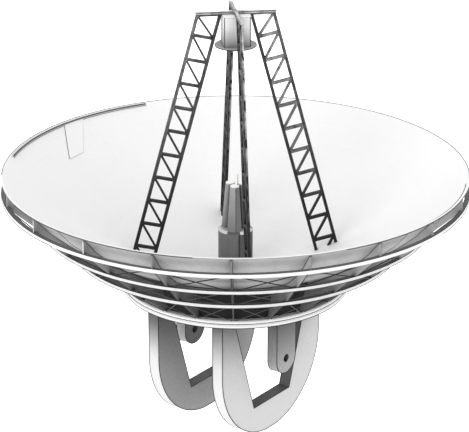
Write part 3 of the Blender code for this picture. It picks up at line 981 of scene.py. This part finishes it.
underside_line = [(r, dish_height(r) - shell - BELOW_SHELL) for r, shell in SHELL]
rib_lines = []
for i in range(RIB_COUNT):
    turn = Matrix.Rotation(math.radians(i * RIB_STEP), 4, "Z")
    for side in (RIB_SIDE, -RIB_SIDE):
        rib_lines.append([turn @ Vector((r, side, RIM_Z + z)) for r, z in underside_line])
tubes("rib_beads", rib_lines, bead_shade_paint, radius=0.024)
frame_lines = []
for azimuth in FRAME_BAYS:
    frame_lines.append([polar(r, azimuth, z) for r, z in underside_line[FRAME_START:]])
tubes("panel_frames", frame_lines, brace_paint, radius=0.02)

# %% [markdown]
# Bent strips follow the rim in several places. A strip's cross-section is swept round an arc,
# ARC_SPREAD degrees to either side of its middle, with a small helper that lofts one ring of
# points to the next. A curve with a bevel profile could do the same, but a mesh made face by
# face keeps its corners sharp and its ends flat.

# %% Arc strip helper
ARC_SPREAD = 27.5
ARC_STEPS = 48


def box_section(inner_r, outer_r, low, high):
    """A rectangular cross-section as points of radius and height."""
    return [(inner_r, low), (outer_r, low), (outer_r, high), (inner_r, high)]


def arc_strip(name, section, middle, mat):
    """Sweeps a closed cross-section round the dish's axis over an arc."""
    mesh = bpy.data.meshes.new(name)
    work = bmesh.new()
    rings = []
    for k in range(ARC_STEPS + 1):
        azimuth = middle - ARC_SPREAD + 2 * ARC_SPREAD * k / ARC_STEPS
        rings.append([work.verts.new(polar(r, azimuth, z)) for r, z in section])
    count = len(section)
    for a, b in zip(rings, rings[1:]):
        for k in range(count):
            work.faces.new((a[k], a[(k + 1) % count], b[(k + 1) % count], b[k]))
    work.faces.new(rings[0])
    work.faces.new(list(reversed(rings[-1])))
    bmesh.ops.recalc_face_normals(work, faces=work.faces)
    work.to_mesh(mesh)
    work.free()
    piece = new_piece(name, mesh, mat)
    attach(piece, "root")
    print(name, "spans", 2 * ARC_SPREAD, "degrees")


print("arc strip helper ready")

# %% [markdown]
# Upstanding strips curve along the inside of the rim at the ends of the elevation axis. Each has
# a dark cap along its top and a dark foot where it meets the dish, so it is made of three bent
# strips in two finishes, a pale one and one for what lies in shade. BANDS gives each band's name,
# its middle azimuth, its radius and the height of its top.

# %% Rim bands
BAND_THICK = 0.03
BAND_SUNK = 0.02
TRIM_IN = 0.02
TRIM_OUT = 0.01
CAP_HEIGHT = 0.09
FOOT_HEIGHT = 0.025
BANDS = [("right", 0, 17.22, -0.115), ("left", 180, 17.15, 0.0)]

band_paint = paint(
    "band_paint", grey(0.70), grey(0.55),
    amount=0.3, cloud_scale=1.0, gloss_loss=0.5, painted_shade=0.3)[0]
shadow_paint = paint(
    "shadow_paint", grey(0.12), grey(0.08), amount=0.3, cloud_scale=1.0, gloss_loss=0.7)[0]

for label, azimuth, band_r, top in BANDS:
    low = dish_height(band_r) - BAND_SUNK
    section = box_section(band_r, band_r + BAND_THICK, low, top)
    arc_strip("rim_band_" + label, section, azimuth, band_paint)
    cap = min(CAP_HEIGHT, (top - low) / 2)
    trims = (("cap", top - cap, cap), ("foot", low + BAND_SUNK, FOOT_HEIGHT))
    for part, bottom, height in trims:
        section = box_section(
            band_r - TRIM_IN, band_r + BAND_THICK + TRIM_OUT, bottom, bottom + height)
        arc_strip("rim_band_%s_%s" % (part, label), section, azimuth, shadow_paint)

# %% [markdown]
# Under the rim's outer edge runs a narrow, dark lip at each quarter of the dish. It is another
# bent strip of the same length, so the band's helper makes it from a smaller cross-section.

# %% Rim lips
LIP_SECTION = box_section(17.49, 17.535, -0.08, -0.02)

for label, azimuth in (("right", 0), ("back", 90), ("left", 180), ("front", -90)):
    # The lips take the shadow finish, a painted shade under the rim.
    arc_strip("rim_lip_" + label, LIP_SECTION, azimuth, shadow_paint)

# %% [markdown]
# One raised panel lies on the dish near the left end of the elevation axis. Its four corners are
# known; the rest of it has to follow the bowl. So the corners are blended into a grid, every
# grid point is lifted to the bowl's height, and the sheet is given a small thickness.

# %% Raised panel
CORNERS = [(-17.24, 0.14), (-14.94, -1.915), (-15.10, -0.08), (-17.085, 2.19)]
PANEL_STEPS = 10
PANEL_LIFT = 0.02
PANEL_THICK = 0.05


def between(start_point, end_point, share):
    """A point part of the way from one point to another, in x and y."""
    return [start_point[k] * (1 - share) + end_point[k] * share for k in (0, 1)]


def on_dish(x, y, lift):
    """A point above the dish's face."""
    return (x, y, RIM_Z + dish_height(math.hypot(x, y)) + lift)


panel_mesh = bpy.data.meshes.new("raised_panel")
work = bmesh.new()
grid = []
for i in range(PANEL_STEPS + 1):
    first = between(CORNERS[0], CORNERS[1], i / PANEL_STEPS)
    last = between(CORNERS[3], CORNERS[2], i / PANEL_STEPS)
    places = [between(first, last, j / PANEL_STEPS) for j in range(PANEL_STEPS + 1)]
    grid.append([work.verts.new(on_dish(x, y, PANEL_LIFT)) for x, y in places])
for i in range(PANEL_STEPS):
    for j in range(PANEL_STEPS):
        work.faces.new((grid[i][j], grid[i + 1][j], grid[i + 1][j + 1], grid[i][j + 1]))
bmesh.ops.recalc_face_normals(work, faces=work.faces)
work.to_mesh(panel_mesh)
work.free()
panel = new_piece("raised_panel", panel_mesh, dish_paint)
thick = panel.modifiers.new("thickness", "SOLIDIFY")
thick.thickness = PANEL_THICK
thick.offset = 0.0
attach(panel, "root")
print("raised_panel has", len(panel_mesh.polygons), "faces before it is thickened")

# %% [markdown]
# The raised panel has the dish's own paint, so only a thin dark line round its edge makes it
# visible. The line is heavier along the first side, where the panel's edge faces the camera.

# %% Raised panel's edge
EDGE_STEPS = 8
EDGE_LIFT = 0.03

edge_lines = []
for start_corner, end_corner in zip(CORNERS, CORNERS[1:] + CORNERS[:1]):
    places = [between(start_corner, end_corner, k / EDGE_STEPS) for k in range(EDGE_STEPS + 1)]
    edge_lines.append([on_dish(x, y, EDGE_LIFT) for x, y in places])
tubes("raised_panel_edge", edge_lines[:1], brace_paint, radius=0.026)
tubes("raised_panel_edges", edge_lines[1:], brace_paint, radius=0.017)

# %% [markdown]
# Each feed cone ends in a pale window that keeps the rain out and lets radio waves through. It
# is a shallow dome clipped over the cone's rim, so it's turned from a profile of radii and
# heights. A thin rod stands between the cones and carries off lightning.

# %% Feed windows and rod
TOWER_TOP = -4.725
CONE_TOP = -1.20
CONE_TOP_R = 0.50
CONES = (-60, 60, 180)
DOME = [
    (0.0, 0.05), (0.12, 0.047), (0.22, 0.036), (0.30, 0.015), (0.345, -0.01), (0.352, -0.06),
    (0.335, -0.06),
]
DOME_STEPS = 48
ROD_R = 0.18
ROD_TURN = 20
ROD_HEIGHT = 0.75
window_paint = paint(
    "window_paint", (0.93, 0.93, 0.92), (0.82, 0.82, 0.80),
    amount=0.2, cloud_scale=3.0, gloss_loss=0.5, painted_shade=0.0)[0]


def turned_piece(name, profile, centre, mat):
    """Turns a profile of radii and heights about a vertical line through a centre."""
    mesh = bpy.data.meshes.new(name)
    sides = [(k, k + 1) for k in range(len(profile) - 1)]
    mesh.from_pydata([(r, 0, z) for r, z in profile], sides, [])
    piece = new_piece(name, mesh, mat)
    piece.location = centre
    screw = piece.modifiers.new("turn", "SCREW")
    screw.steps = DOME_STEPS
    screw.render_steps = DOME_STEPS
    screw.use_merge_vertices = True
    screw.merge_threshold = 0.0001
    screw.use_normal_calculate = True
    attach(piece, "root")
    print(name, "is turned in", DOME_STEPS, "steps")


for i, azimuth in enumerate(CONES):
    centre = polar(CONE_TOP_R, azimuth, CONE_TOP)
    turned_piece("feed_window_%d" % (i + 1), DOME, centre, window_paint)
rod = [polar(ROD_R, ROD_TURN, TOWER_TOP), polar(ROD_R, ROD_TURN, CONE_TOP + ROD_HEIGHT)]
tubes("lightning_rod", [rod], brace_paint, radius=0.02)

# %% [markdown]
# The tower's wall is made of three curved plates, and a seam runs down where two of them meet.
# Each cone is one rolled sheet with one seam, on the same side of all three cones. The cones
# narrow and lean inwards towards the top, so a seam's ends come from the circles there: CONE_ENDS
# gives how far a circle's middle stands from the dish's axis, its height and its own radius.

# %% Seams of the tower and the cones
SEAM_TURNS = (-40.5, 79.5, 199.5)
TOWER_SEAM_R = 1.32
TOWER_FOOT = -7.9
SHOULDER = 0.16
CONE_ENDS = [(0.64, TOWER_TOP + 0.02, 0.545), (CONE_TOP_R, CONE_TOP - 0.07, 0.345)]

tower_seams = [
    [polar(TOWER_SEAM_R, azimuth, TOWER_FOOT), polar(TOWER_SEAM_R, azimuth, TOWER_TOP - SHOULDER)]
    for azimuth in SEAM_TURNS]
tubes("tower_seams", tower_seams, bead_shade_paint, radius=0.045)
seam_turn = math.radians(SEAM_TURNS[0])
cone_seams = []
for azimuth in CONES:
    seam = []
    for middle_r, height, cone_r in CONE_ENDS:
        x, y, z = polar(middle_r, azimuth, height)
        seam.append((x + cone_r * math.cos(seam_turn), y + cone_r * math.sin(seam_turn), z))
    cone_seams.append(seam)
tubes("cone_seams", cone_seams, brace_paint, radius=0.022)

# %% [markdown]
# The last seams are at the top: one at each rounded corner of the housing and one round its lid,
# one along each edge of the cross beams, and one under the edge of the subreflector's disc. The
# housing and the cross repeat four times round the axis, turned by 45 degrees like the legs, so
# one quarter is described and then turned.

# %% Seams of the housing, cross and disc
HOUSING_CORNER = 0.947
HOUSING_HALF = 1.02
HOUSING_FLAT = 0.74
HOUSING_HEIGHTS = (9.74, 11.98)
LID_Z = 11.975
BEAM_HALF = 0.12
BEAM_HEIGHTS = (12.01, 12.175)
BEAM_REACH = (0.13, 2.96)
DISC_SEAM_R = 1.53
DISC_SEAM_Z = 9.64
DISC_SEAM_TURN = 5

corner_seams = []
lid = []
beams = []
for k in range(4):
    side = Matrix.Rotation(math.radians(90 * k + 45), 4, "Z")
    corner = (HOUSING_CORNER, HOUSING_CORNER)
    corner_seams.append([side @ Vector((*corner, RIM_Z + z)) for z in HOUSING_HEIGHTS])
    for x, y in ((HOUSING_HALF, -HOUSING_FLAT), (HOUSING_HALF, HOUSING_FLAT), corner):
        lid.append(side @ Vector((x, y, RIM_Z + LID_Z)))
    for y in (-BEAM_HALF, BEAM_HALF):
        for z in BEAM_HEIGHTS:
            beams.append([side @ Vector((x, y, RIM_Z + z)) for x in BEAM_REACH])
tubes("housing_seams", corner_seams, brace_paint, radius=0.035)
tubes("housing_lid_seam", [lid], band_paint, radius=0.025, closed=True)
tubes("cross_beads", beams, bead_shade_paint, radius=0.024)
disc_turns = range(0, 360, DISC_SEAM_TURN)
disc_edge = [polar(DISC_SEAM_R, azimuth, DISC_SEAM_Z) for azimuth in disc_turns]
tubes("disc_bead", [disc_edge], bead_shade_paint, radius=0.035, closed=True)
